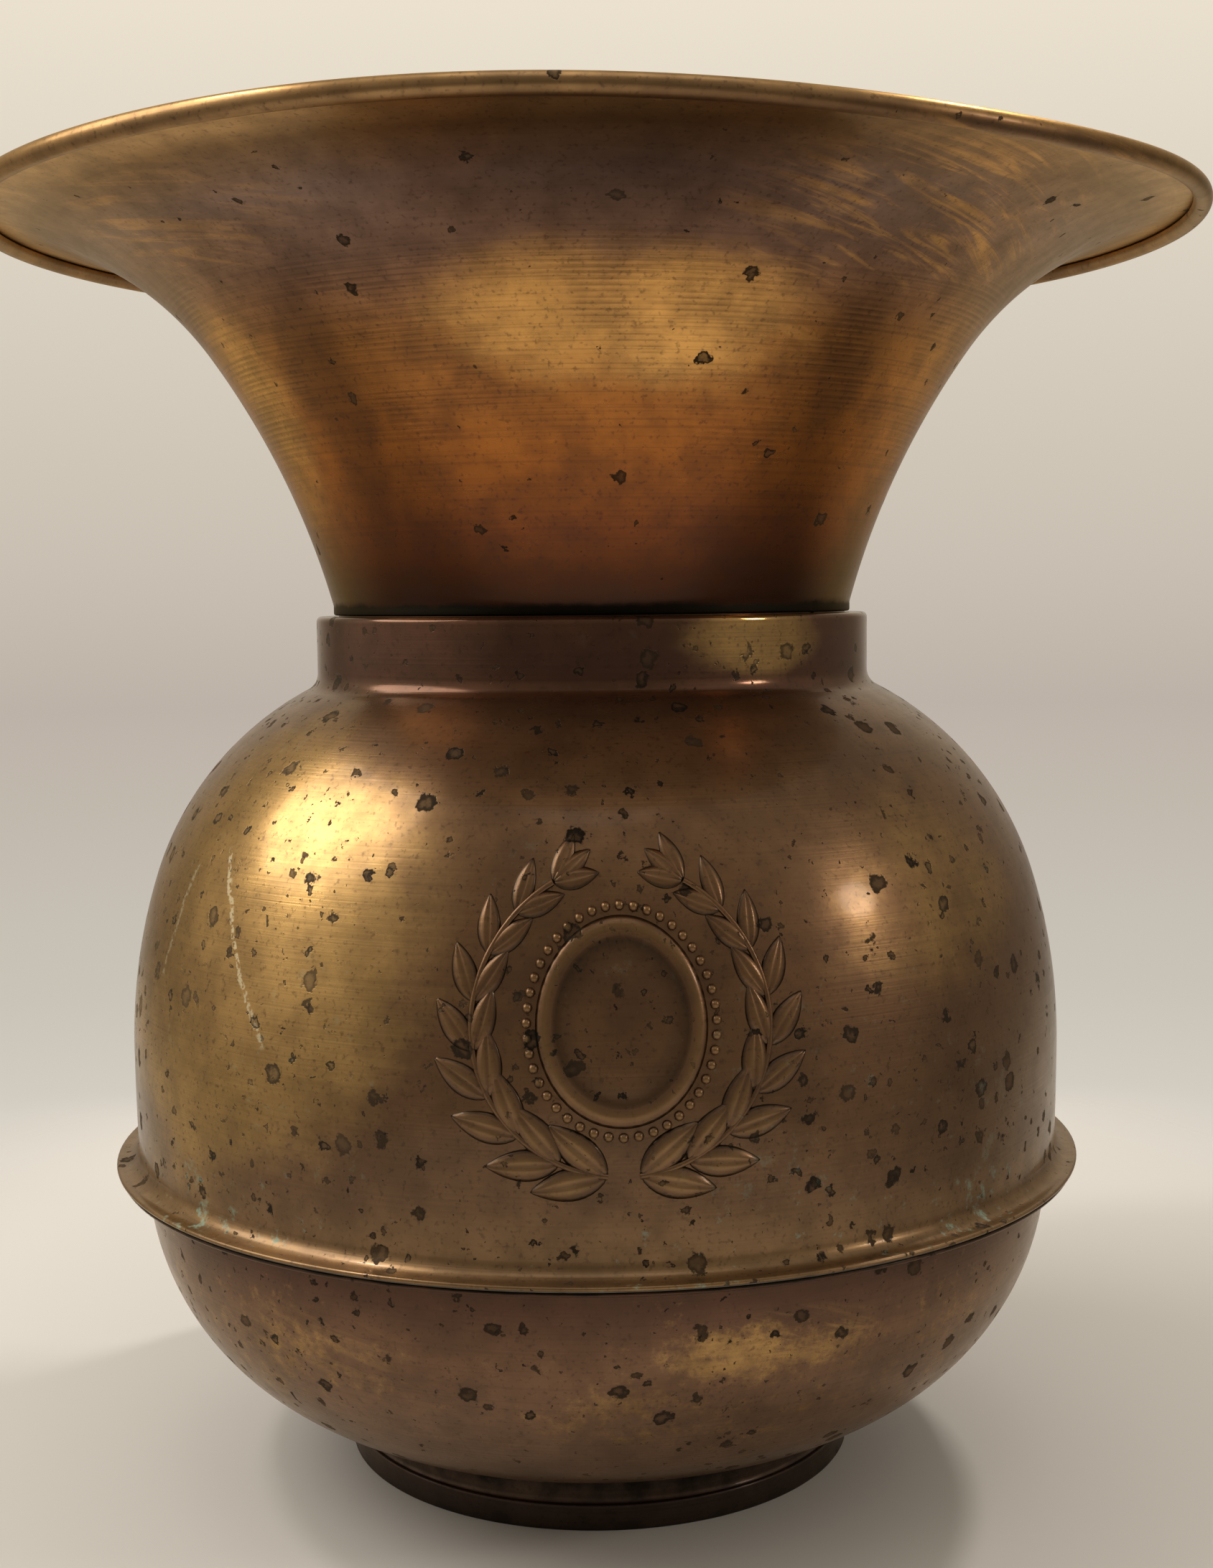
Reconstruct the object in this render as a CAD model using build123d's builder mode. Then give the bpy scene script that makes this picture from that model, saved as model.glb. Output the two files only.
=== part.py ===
# Spun brass spittoon: a loose trumpet funnel that drops into the collar of a two-part body on a foot ring.
# Millimetres, +Z up, origin on the floor at the middle of the foot. Every piece is round about Z, so each one is a
# half section in the XZ plane, drawn as (radius, height) and revolved. A sheet piece is drawn as the line along the
# middle of its sheet and thickened to both sides, which also rounds its cut edges as deburring does.
import os
from math import cos, radians, sin, sqrt

from build123d import *

# Sheet and fits
sheet = 0.9  # spun brass of the funnel, body, bowl and sleeve
slide_fit = 0.35  # radial play of the sleeve in the collar's lip
solder_film = 0.15  # room for solder in a lapped joint
seat_gap = 0.2  # the neck's cut edge above the collar

# Foot ring: a strip with its lower edge folded outward as a hem
foot_radius = 55.7  # outside of the hem
hem_height = 5.4
hem_fold = 0.9  # how far the hem stands out from the wall
foot_wall = 1.0
foot_edge_round = 0.5
foot_solder_leg = 2.4

# Bowl
floor_height = 9.8  # underside of the bowl's floor above the ground
bowl_floor_radius = 43.0  # flat floor, where the round side begins
bowl_inset = 1.6  # the wall under the flange stands this far inside the body's wall
bowl_depth = 55.8  # underside of the floor to underside of the flange
bowl_flange_inset = 0.8  # its flange ends this far inside the body's
bowl_flange_fillet = 1.6

# Seam between the two flanges
seam_thickness = 0.4
seam_width = 0.8
seam_recess = 1.0  # solder stays this far inside the upper flange's edge

# Body shell
belly_radius = 100.8
belly_rise = 24.2  # widest point above the top of the flange
barrel_inset = 0.4  # how far the wall draws in between the belly and the flange
body_flange = 4.8  # width of the flange beyond the wall
body_flange_fillet = 3.0
shoulder_inset = 5.65  # where the belly's curve hands over to the shoulder's tighter one
shoulder_rise = 36.3
collar_radius = 60.0
collar_rise = 76.4  # foot of the collar above the widest point
collar_height = 15.0
collar_fillet = 4.0
lip_width = 4.45  # outside of the collar to the bore of its lip
lip_fold = 0.2  # inner radius of the folds at the lip
lip_depth = 6.0  # the lip is folded in and then down by this much

# Funnel
sleeve_depth = 28.0  # below the top of the collar
sleeve_lap = 4.6  # above the neck's cut edge
spigot_solder_length = 2.4
neck_height = 1.6
neck_slope = 15.0  # degrees from upright where the flare leaves the neck
mouth_radius = 129.5  # outside of the rolled edge
mouth_rise = 83.6  # top of the rolled edge above the collar
mouth_slope = 7.0  # degrees that the flare still climbs where it meets the wire
wire_radius = 1.6
wire_fit = 0.25
curl_sweep = 285.0  # degrees that the sheet is rolled round the wire

# Levels and radii that follow
half = sheet / 2
floor_middle = floor_height + half
bowl_flange_middle = floor_middle + bowl_depth
seam_bottom = bowl_flange_middle + half
seam_top = seam_bottom + seam_thickness
flange_middle = seam_top + half
belly_middle = belly_radius - half
belly_height = flange_middle + half + belly_rise
barrel_middle = belly_middle - barrel_inset
flange_radius = belly_radius - barrel_inset + body_flange
bowl_wall_middle = barrel_middle - bowl_inset
bowl_flange_radius = flange_radius - bowl_flange_inset
collar_middle = collar_radius - half
collar_foot = belly_height + collar_rise
collar_top = collar_foot + collar_height
lip_middle = collar_radius - lip_width + half
sleeve_radius = collar_radius - lip_width - slide_fit
lip_level = collar_top - half
neck_bore = sleeve_radius + solder_film
neck_middle = neck_bore + half
neck_bottom = collar_top + seat_gap + half
neck_top = neck_bottom + neck_height
sleeve_middle = sleeve_radius - half
foot_bore = foot_radius - hem_fold - foot_wall

# Round side of the bowl as a circle: it leaves the floor level and ends at the flange
bowl_run = bowl_wall_middle - bowl_floor_radius
bowl_curve = (bowl_run**2 + bowl_depth**2) / (2 * bowl_depth)
bowl_centre = (bowl_floor_radius, floor_middle + bowl_curve)

# Rolled edge: the sheet's middle line runs round the wire from where the flare meets it
curl_radius = wire_radius + wire_fit + half
wire_centre = Vector(mouth_radius - curl_radius - half, collar_top + mouth_rise - curl_radius - half)
mouth_outward = Vector(cos(radians(mouth_slope)), sin(radians(mouth_slope)))
mouth_point = wire_centre + Vector(-mouth_outward.Y, mouth_outward.X) * curl_radius

# Flare: two arcs that meet smoothly, the biarc with equal tangents from the neck to the rolled edge
neck_point = Vector(neck_middle, neck_top)
neck_upward = Vector(sin(radians(neck_slope)), cos(radians(neck_slope)))
flare_span = mouth_point - neck_point
flare_turn = 2 * (1 - neck_upward.dot(mouth_outward))
flare_along = flare_span.dot(neck_upward + mouth_outward)
flare_tangent = (sqrt(flare_along**2 + flare_turn * flare_span.dot(flare_span)) - flare_along) / flare_turn
flare_joint = (neck_point + mouth_point + (neck_upward - mouth_outward) * flare_tangent) * 0.5

os.makedirs("parts", exist_ok=True)

# Funnel: neck, two arcs of the flare, and the curl round the wire
with BuildPart() as funnel:
    with BuildSketch(Plane.XZ):
        with BuildLine():
            Line((neck_middle, neck_bottom), neck_point)
            flare_foot = TangentArc(neck_point, flare_joint, tangent=neck_upward)
            TangentArc(flare_joint, mouth_point, tangent=flare_foot % 1)
            CenterArc(wire_centre, curl_radius, 90 + mouth_slope, -curl_sweep)
            offset(amount=half)
        make_face()
    revolve(axis=Axis.Z)
funnel.part.label = "funnel"
export_step(funnel.part, "parts/funnel.step")

# Wire inside the rolled edge
with BuildPart() as rim_wire:
    with BuildSketch(Plane.XZ):
        with Locations(wire_centre):
            Circle(wire_radius)
    revolve(axis=Axis.Z)
rim_wire.part.label = "rim_wire"
export_step(rim_wire.part, "parts/rim_wire.step")

# Sleeve: straight tube from inside the neck down through the collar's lip
with BuildPart() as spigot_sleeve:
    with BuildSketch(Plane.XZ):
        with BuildLine():
            Line((sleeve_middle, neck_bottom + sleeve_lap), (sleeve_middle, collar_top - sleeve_depth))
            offset(amount=half)
        make_face()
    revolve(axis=Axis.Z)
spigot_sleeve.part.label = "spigot_sleeve"
export_step(spigot_sleeve.part, "parts/spigot_sleeve.step")

# Solder in the wedge between the sleeve and the inside of the flare's foot
wedge_foot = neck_point + Vector(-neck_upward.Y, neck_upward.X) * half
wedge_top = wedge_foot + neck_upward * spigot_solder_length

with BuildPart() as spigot_solder:
    with BuildSketch(Plane.XZ):
        with BuildLine():
            Polyline(
                (sleeve_radius, wedge_foot.Y), wedge_foot, wedge_top, (sleeve_radius, wedge_top.Y), close=True
            )
        make_face()
    revolve(axis=Axis.Z)
spigot_solder.part.label = "spigot_solder"
export_step(spigot_solder.part, "parts/spigot_solder.step")

# Body shell: folded lip, collar, shoulder, belly and flange in one sheet
with BuildPart() as body_shell:
    with BuildSketch(Plane.XZ):
        with BuildLine() as section:
            folded_lip = Polyline(
                (lip_middle, lip_level - lip_depth),
                (lip_middle, lip_level),
                (collar_middle, lip_level),
                (collar_middle, collar_foot),
            )
            belly = TangentArc(
                (belly_middle, belly_height),
                (belly_middle - shoulder_inset, belly_height + shoulder_rise),
                tangent=(0, 1),
            )
            TangentArc(belly @ 1, folded_lip @ 1, tangent=belly % 1)
            barrel = TangentArc(belly @ 0, (barrel_middle, flange_middle), tangent=(0, -1))
            Line(barrel @ 1, (flange_radius - half, flange_middle))
            fillet(section.vertices().sort_by_distance(barrel @ 1)[0], body_flange_fillet + half)
            fillet(section.vertices().sort_by_distance(folded_lip @ 1)[0], collar_fillet + half)
            fillet(section.vertices().group_by(Axis.Y)[-1], lip_fold + half)
            offset(amount=half)
        make_face()
    revolve(axis=Axis.Z)
body_shell.part.label = "body_shell"
export_step(body_shell.part, "parts/body_shell.step")

# Bowl: flange, round side and flat floor in one sheet
with BuildPart() as bowl:
    with BuildSketch(Plane.XZ):
        with BuildLine() as section:
            floor = Line((-sheet, floor_middle), (bowl_floor_radius, floor_middle))
            side = TangentArc(floor @ 1, (bowl_wall_middle, bowl_flange_middle), tangent=(1, 0))
            Line(side @ 1, (bowl_flange_radius - half, bowl_flange_middle))
            fillet(section.vertices().sort_by_distance(side @ 1)[0], bowl_flange_fillet + half)
            offset(amount=half)
        make_face()
        Rectangle(bowl_flange_radius, seam_bottom, align=(Align.MIN, Align.MIN), mode=Mode.INTERSECT)
    revolve(axis=Axis.Z)
bowl.part.label = "bowl"
export_step(bowl.part, "parts/bowl.step")

# Solder between the two flanges
with BuildPart() as seam_solder:
    with BuildSketch(Plane.XY.offset(seam_bottom)):
        Circle(flange_radius - seam_recess)
        Circle(flange_radius - seam_recess - seam_width, mode=Mode.SUBTRACT)
    extrude(amount=seam_thickness)
seam_solder.part.label = "seam_solder"
export_step(seam_solder.part, "parts/seam_solder.step")

# Foot ring: wall under the round side of the bowl, with a hem at the ground
with BuildPart() as foot_ring:
    with BuildSketch(Plane.XZ) as section:
        with Locations((foot_bore, 0)):
            Rectangle(foot_wall + hem_fold, hem_height, align=(Align.MIN, Align.MIN))
            Rectangle(foot_wall, floor_middle + bowl_curve, align=(Align.MIN, Align.MIN))
        with Locations(bowl_centre):
            Circle(bowl_curve + half + solder_film, mode=Mode.SUBTRACT)
        fillet(section.vertices().group_by(Axis.Y)[0], foot_edge_round)
        fillet(section.vertices().sort_by_distance((foot_radius, hem_height))[0], foot_edge_round)
    revolve(axis=Axis.Z)
foot_ring.part.label = "foot_ring"
export_step(foot_ring.part, "parts/foot_ring.step")

# Solder fillet inside the foot
foot_seat = bowl_centre[1] - sqrt((bowl_curve + half) ** 2 - (foot_bore - bowl_floor_radius) ** 2)

with BuildPart() as foot_solder:
    with BuildSketch(Plane.XZ):
        with BuildLine():
            Polyline(
                (foot_bore, foot_seat - foot_solder_leg),
                (foot_bore, foot_seat),
                (foot_bore - foot_solder_leg, foot_seat),
                close=True,
            )
        make_face()
        with Locations(bowl_centre):
            Circle(bowl_curve + half, mode=Mode.SUBTRACT)
    revolve(axis=Axis.Z)
foot_solder.part.label = "foot_solder"
export_step(foot_solder.part, "parts/foot_solder.step")
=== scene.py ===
import math
from functools import partial

import bmesh
import bpy
import numpy as np
from mathutils import Matrix


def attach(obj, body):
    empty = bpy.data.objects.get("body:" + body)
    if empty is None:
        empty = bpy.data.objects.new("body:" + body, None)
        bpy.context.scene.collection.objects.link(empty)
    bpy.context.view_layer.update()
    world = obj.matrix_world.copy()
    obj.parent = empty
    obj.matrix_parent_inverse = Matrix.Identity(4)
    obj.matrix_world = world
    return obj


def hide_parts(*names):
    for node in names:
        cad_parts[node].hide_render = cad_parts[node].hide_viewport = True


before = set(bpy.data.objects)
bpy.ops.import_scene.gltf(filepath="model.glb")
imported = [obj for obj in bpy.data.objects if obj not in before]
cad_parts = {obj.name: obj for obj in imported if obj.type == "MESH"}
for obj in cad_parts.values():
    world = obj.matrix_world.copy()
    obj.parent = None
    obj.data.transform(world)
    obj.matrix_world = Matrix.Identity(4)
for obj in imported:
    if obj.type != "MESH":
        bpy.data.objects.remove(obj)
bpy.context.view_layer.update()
scene = bpy.context.scene
mm = 0.001
sheetHalf = 0.45  # half the thickness of the spun brass, mm
smooth = {"interpolation_type": "SMOOTHSTEP"}  # for Map Range
print("frame loaded:", sorted(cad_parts))


def linear(hexColour):  # sRGB hex to linear RGBA
    parts = [int(hexColour[i:i + 2], 16) / 255 for i in (1, 3, 5)]
    return tuple(c / 12.92 if c <= 0.04045 else ((c + 0.055) / 1.055) ** 2.4 for c in parts) + (1.0,)


def add(tree, kind, *sources, into=None, **settings):  # one node with its settings and links; a list is joined
    node = tree.nodes.new(kind)
    for name, value in settings.items():
        setattr(node, name, value)
    for socket, given in [*enumerate(sources), *(into or {}).items()]:
        for source in given if isinstance(given, list) else [given]:
            if isinstance(source, bpy.types.Node):
                source = next(o for o in source.outputs if o.enabled)
            if isinstance(source, bpy.types.NodeSocket):
                tree.links.new(source, node.inputs[socket])
            else:
                node.inputs[socket].default_value = source
    return node


def cleared(owner):  # empties the nodes of a material or world, and returns what adds to them
    owner.use_nodes = True
    owner.node_tree.nodes.clear()
    return partial(add, owner.node_tree)


def fillRamp(ramp, stops):  # stops are (share from 0 to 1, hex colour or grey value)
    elements = ramp.color_ramp.elements
    while len(elements) < len(stops):
        elements.new(0.5)
    for element, (share, value) in zip(elements, stops):
        element.position = share
        element.color = linear(value) if isinstance(value, str) else (value, value, value, 1)


def linked(name, data):  # a new object in the scene
    item = bpy.data.objects.new(name, data)
    scene.collection.objects.link(item)
    return item


# Sections are (radius, height) in mm, drawn along the middle of the sheet
def arcTo(start, end, tangent, count):  # arc that leaves start along tangent
    start, end, tangent = (np.array(v, float) for v in (start, end, tangent))
    tangent = tangent / np.linalg.norm(tangent)
    side = np.array([-tangent[1], tangent[0]])
    chord = end - start
    turn = math.atan2(chord @ side, chord @ tangent)
    radius = np.linalg.norm(chord) / (2 * math.sin(turn))
    angles = np.linspace(0, 2 * turn, count)
    points = start + np.outer(radius * np.sin(angles), tangent) + np.outer(radius * (1 - np.cos(angles)), side)
    return points, tangent * math.cos(2 * turn) + side * math.sin(2 * turn)


def straight(start, end, count):
    return np.linspace(np.array(start, float), np.array(end, float), count)


def trimmed(path, cut):  # path without its last cut mm
    steps = np.linalg.norm(np.diff(path, axis=0), axis=1)
    reach = np.concatenate([[0], np.cumsum(steps)])
    stop = reach[-1] - cut
    kept = path[reach < stop - 1e-6]
    last = [np.interp(stop, reach, path[:, i]) for i in (0, 1)]
    return np.vstack([kept, last])


def filleted(before, after, radius, count=8):  # rounds the corner where two paths meet
    inward, outward = before[-1] - before[-2], after[1] - after[0]
    cosine = inward @ outward / np.linalg.norm(inward) / np.linalg.norm(outward)
    cut = radius * math.tan(math.acos(max(-1, min(1, cosine))) / 2)
    before, after = trimmed(before, cut), trimmed(after[::-1], cut)[::-1]
    corner, _ = arcTo(before[-1], after[0], before[-1] - before[-2], count)
    return np.vstack([before, corner[1:-1], after])


def sheetSection(path, roundSteps=5):  # closed outline of a sheet whose middle is path
    path = path[np.concatenate([[True], np.linalg.norm(np.diff(path, axis=0), axis=1) > 1e-6])]
    reach = np.concatenate([[0], np.cumsum(np.linalg.norm(np.diff(path, axis=0), axis=1))])
    slope = np.stack([np.gradient(path[:, i], reach) for i in (0, 1)], 1)
    slope /= np.linalg.norm(slope, axis=1)[:, None]
    side = np.stack([slope[:, 1], -slope[:, 0]], 1) * sheetHalf
    ends = []
    for point, along, across in ((path[-1], slope[-1], side[-1]), (path[0], -slope[0], -side[0])):
        angles = np.linspace(0, math.pi, roundSteps + 2)[1:-1]
        ends.append(point + np.outer(np.cos(angles), across) + np.outer(np.sin(angles), along) * sheetHalf)
    return np.vstack([path + side, ends[0], (path - side)[::-1], ends[1]])


def newTree(name, given, made):  # empty Geometry Nodes tree with named sockets
    tree = bpy.data.node_groups.new(name, "GeometryNodeTree")
    for socket, kind in given.items():
        tree.interface.new_socket(socket, in_out="INPUT", socket_type="NodeSocket" + kind)
    tree.interface.new_socket(made, in_out="OUTPUT", socket_type="NodeSocketGeometry")
    return tree


def spinTree():  # spins a section round the axis, as the sheet is spun on a lathe
    tree = newTree("spinOnLathe", {"Section": "Geometry", "Columns": "Int", "Front Density": "Float",
                                   "Finish": "Material"}, "Spun")
    put = partial(add, tree)
    given = put("NodeGroupInput").outputs
    ringRadius = 0.05  # m, any size does, since the section is moved in by as much

    outline = put("GeometryNodeMeshToCurve", given["Section"])
    along = put("ShaderNodeMath", put("GeometryNodeSplineParameter").outputs["Length"], 1 / mm, operation="MULTIPLY")
    marked = put("GeometryNodeStoreNamedAttribute", outline, into={"Name": "along", "Value": along},
                 data_type="FLOAT", domain="POINT")
    place = put("ShaderNodeSeparateXYZ", put("GeometryNodeInputPosition")).outputs
    outward = put("ShaderNodeMath", place["X"], ringRadius, operation="SUBTRACT")
    upward = put("ShaderNodeMath", place["Z"], -1.0, operation="MULTIPLY")
    profile = put("GeometryNodeSetPosition", marked, into={"Position": put("ShaderNodeCombineXYZ", outward, upward)})

    ring = put("GeometryNodeCurvePrimitiveCircle", into={"Resolution": given["Columns"], "Radius": ringRadius})
    share = put("ShaderNodeMath", put("GeometryNodeInputIndex"), given["Columns"], operation="DIVIDE")
    turn = put("ShaderNodeMath", share, 2 * math.pi, operation="MULTIPLY")
    sway = put("ShaderNodeMath", turn, operation="SINE")
    nearer = put("ShaderNodeMath", sway, given["Front Density"], turn, operation="MULTIPLY_ADD")  # closer towards -Y
    bearing = put("ShaderNodeMath", nearer, math.pi / 2, operation="ADD")
    ringX = put("ShaderNodeMath", put("ShaderNodeMath", bearing, operation="COSINE"), ringRadius, operation="MULTIPLY")
    ringY = put("ShaderNodeMath", put("ShaderNodeMath", bearing, operation="SINE"), ringRadius, operation="MULTIPLY")
    spaced = put("GeometryNodeSetPosition", ring, into={"Position": put("ShaderNodeCombineXYZ", ringX, ringY)})
    level = put("GeometryNodeSetCurveNormal", spaced, mode="Z_UP")
    spun = put("GeometryNodeCurveToMesh", into={"Curve": level, "Profile Curve": profile})
    closed = put("GeometryNodeMergeByDistance", spun, into={"Distance": 1e-6})
    real = put("GeometryNodeRealizeInstances", put("GeometryNodeSetShadeSmooth", closed))
    dressed = put("GeometryNodeSetMaterial", real, into={"Material": given["Finish"]})
    put("NodeGroupOutput", dressed)
    return tree


def laurelTree():  # two laurel branches round a beaded oval, laid out flat and then pressed up out of the sheet
    tree = newTree("laurelPressing", {"Sheet": "Geometry", "Leaf": "Object", "Bead": "Object", "Oval": "Object",
                                      "Pairs": "Int", "Branch Radius": "Float", "Branch Start": "Float",
                                      "Branch Sweep": "Float", "Splay": "Float", "Tip Size": "Float",
                                      "Stem": "Float", "Beads": "Int", "Bead Ring": "Vector",
                                      "Bearing": "Float", "Height": "Float", "Wall Radius": "Float",
                                      "Finish": "Material"}, "Pressed")
    put = partial(add, tree)
    given = put("NodeGroupInput").outputs
    rayStart, rayLength = 0.2, 0.3  # m, from outside the wall
    leaf, bead, oval = (put("GeometryNodeObjectInfo", given[name]).outputs["Geometry"]
                        for name in ("Leaf", "Bead", "Oval"))

    # One branch: a stem, pairs of leaves and a leaf at the tip
    arc = put("GeometryNodeCurveArc", into={"Resolution": 48, "Radius": given["Branch Radius"],
                                            "Start Angle": given["Branch Start"],
                                            "Sweep Angle": given["Branch Sweep"]}, mode="RADIUS")
    stations = put("GeometryNodeResampleCurve", arc, into={"Count": given["Pairs"]}, mode="COUNT")
    share = put("GeometryNodeSplineParameter").outputs["Factor"]
    size = put("ShaderNodeMapRange", share, 0.0, 1.0, 1.0, given["Tip Size"])
    facing = put("FunctionNodeAlignRotationToVector", into={"Vector": put("GeometryNodeInputTangent")}, axis="X",
                 pivot_axis="Z")
    grown = []
    for side in (-1.0, 1.0):
        angle = put("ShaderNodeMath", given["Splay"], side, operation="MULTIPLY")
        splay = put("FunctionNodeAxisAngleToRotation", (0.0, 0.0, 1.0), angle)
        turned = put("FunctionNodeRotateRotation", facing, splay, rotation_space="LOCAL")
        grown.append(put("GeometryNodeInstanceOnPoints", stations,
                         into={"Instance": leaf, "Rotation": turned, "Scale": size}))
    last = put("GeometryNodeCurveEndpointSelection", 0, 1)
    grown.append(put("GeometryNodeInstanceOnPoints", stations,
                     into={"Selection": last, "Instance": leaf, "Rotation": facing, "Scale": size}))
    thin = put("GeometryNodeCurvePrimitiveCircle", into={"Resolution": 8, "Radius": given["Stem"]})
    grown.append(put("GeometryNodeCurveToMesh", into={"Curve": arc, "Profile Curve": thin, "Fill Caps": True}))
    branch = put("GeometryNodeRealizeInstances", put("GeometryNodeJoinGeometry", grown))
    mirrored = put("GeometryNodeFlipFaces", put("GeometryNodeTransform", branch, into={"Scale": (-1.0, 1.0, 1.0)}))

    # Beads round the oval
    circle = put("GeometryNodeCurvePrimitiveCircle", into={"Resolution": 96, "Radius": 1.0})
    ellipse = put("GeometryNodeTransform", circle, into={"Scale": given["Bead Ring"]})
    beadPlaces = put("GeometryNodeResampleCurve", ellipse, into={"Count": given["Beads"]}, mode="COUNT")
    beads = put("GeometryNodeInstanceOnPoints", beadPlaces, into={"Instance": bead})
    laid = put("GeometryNodeRealizeInstances", put("GeometryNodeJoinGeometry", [branch, mirrored, beads, oval]))

    # Wrapped onto the wall along level rays
    place = put("ShaderNodeSeparateXYZ", put("GeometryNodeInputPosition")).outputs
    turn = put("ShaderNodeMath", put("ShaderNodeMath", place["X"], given["Wall Radius"], operation="DIVIDE"),
               given["Bearing"], operation="ADD")
    sideways, forward = (put("ShaderNodeMath", turn, operation=o) for o in ("SINE", "COSINE"))
    level = put("ShaderNodeMath", place["Y"], given["Height"], operation="ADD")
    back = put("ShaderNodeMath", forward, -1.0, operation="MULTIPLY")
    outwards = put("ShaderNodeCombineXYZ", sideways, back, 0.0)
    start = put("ShaderNodeVectorMath", outwards, (rayStart, rayStart, 0.0),
                put("ShaderNodeCombineXYZ", 0.0, 0.0, level), operation="MULTIPLY_ADD")
    inwards = put("ShaderNodeVectorMath", outwards, into={"Scale": -1.0}, operation="SCALE")
    along = put("GeometryNodeInputNamedAttribute", "along", data_type="FLOAT")
    hit = put("GeometryNodeRaycast", given["Sheet"], into={"Attribute": along, "Source Position": start,
                                                           "Ray Direction": inwards, "Ray Length": rayLength},
              data_type="FLOAT").outputs
    raised = put("ShaderNodeMath", place["Z"], 1 / mm, operation="MULTIPLY")
    marked = put("GeometryNodeStoreNamedAttribute", laid, into={"Name": "relief", "Value": raised}, data_type="FLOAT")
    marked = put("GeometryNodeStoreNamedAttribute", marked, into={"Name": "along", "Value": hit["Attribute"]},
                 data_type="FLOAT")
    pressed = put("ShaderNodeVectorMath", hit["Hit Normal"], into={"Scale": place["Z"]}, operation="SCALE")
    onWall = put("ShaderNodeVectorMath", hit["Hit Position"], pressed, operation="ADD")
    wrapped = put("GeometryNodeSetPosition", marked, into={"Position": onWall})
    both = put("GeometryNodeJoinGeometry", [wrapped, given["Sheet"]])
    real = put("GeometryNodeRealizeInstances", put("GeometryNodeSetShadeSmooth", both))
    put("NodeGroupOutput", put("GeometryNodeSetMaterial", real, into={"Material": given["Finish"]}))
    return tree


def runTree(name, base, tree, values):  # evaluates a tree on a base mesh and returns a plain object
    carrier = linked(name + "Carrier", base)
    modifier = carrier.modifiers.new(tree.name, "NODES")
    modifier.node_group = tree
    sockets = {item.name: item.identifier for item in tree.interface.items_tree if item.in_out == "INPUT"}
    for key, value in values.items():
        modifier[sockets[key]] = value
    bpy.context.view_layer.update()
    baked = bpy.data.meshes.new_from_object(carrier.evaluated_get(bpy.context.evaluated_depsgraph_get()))
    carrier.modifiers.remove(modifier)
    bpy.data.objects.remove(carrier)
    baked.name = name
    return linked(name, baked)


def facingOut(piece):  # closed shells point outwards
    edit = bmesh.new()
    edit.from_mesh(piece.data)
    bmesh.ops.recalc_face_normals(edit, faces=edit.faces)
    edit.to_mesh(piece.data)
    edit.free()
    for face in piece.data.polygons:
        face.use_smooth = True


lathe = spinTree()


def spin(name, section, finish, columns, frontDensity=0.0):
    base = bpy.data.meshes.new(name + "Section")
    count = len(section)
    base.from_pydata([(r * mm, 0, z * mm) for r, z in section], [(i, (i + 1) % count) for i in range(count)], [])
    piece = runTree(name, base, lathe, {"Columns": columns, "Front Density": frontDensity, "Finish": finish})
    facingOut(piece)
    print("spun", name, len(piece.data.polygons), "faces")
    return piece


def bend(piece, knocks, inner, outer):  # lifts or drops the rim, more towards its edge
    points = np.empty(len(piece.data.vertices) * 3)
    piece.data.vertices.foreach_get("co", points)
    points = points.reshape(-1, 3)
    turn = np.degrees(np.arctan2(points[:, 0], -points[:, 1]))
    reach = np.clip((np.hypot(points[:, 0], points[:, 1]) / mm - inner) / (outer - inner), 0, None) ** 2
    for bearing, lift, width in knocks:
        away = (turn - bearing + 180) % 360 - 180
        points[:, 2] += reach * lift * mm * np.exp(-(away / width) ** 2)
    piece.data.vertices.foreach_set("co", points.ravel())
    piece.data.update()


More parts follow.
